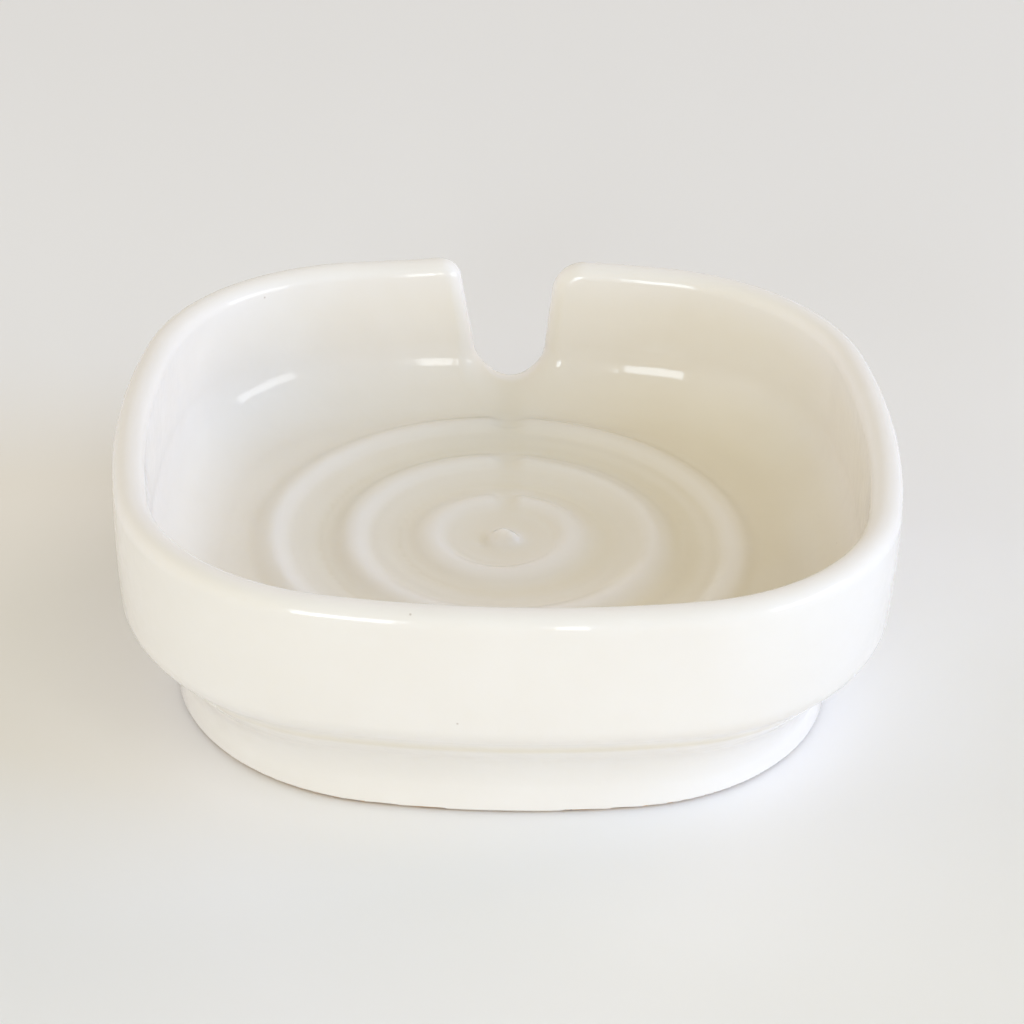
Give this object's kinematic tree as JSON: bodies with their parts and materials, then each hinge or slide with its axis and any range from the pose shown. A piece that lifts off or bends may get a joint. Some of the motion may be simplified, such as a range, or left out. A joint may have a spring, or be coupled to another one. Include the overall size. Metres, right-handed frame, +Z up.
{
  "type": "soap dish",
  "caption": "Glazed stoneware soap dish: a squared bowl on a turned foot, with a drain notch in the back wall and thrown rings on the floor.",
  "frame": {"origin": "middle of the face that the foot ring stands on, under the middle of the bowl", "axes": "+X to the right across the bowl's width, +Y to the back where the drain notch is, +Z up out of the bowl"},
  "size_m": [0.12, 0.1147, 0.041],
  "materials": {
    "bare_clay": "unglazed, matt, slightly gritty",
    "white_glaze": "glossy warm white glaze"
  },
  "bodies": {
    "root": {"stoneware_body": "bare_clay", "glaze_coat": "white_glaze", "underside_glaze": "white_glaze"}
  },
  "joints": []
}
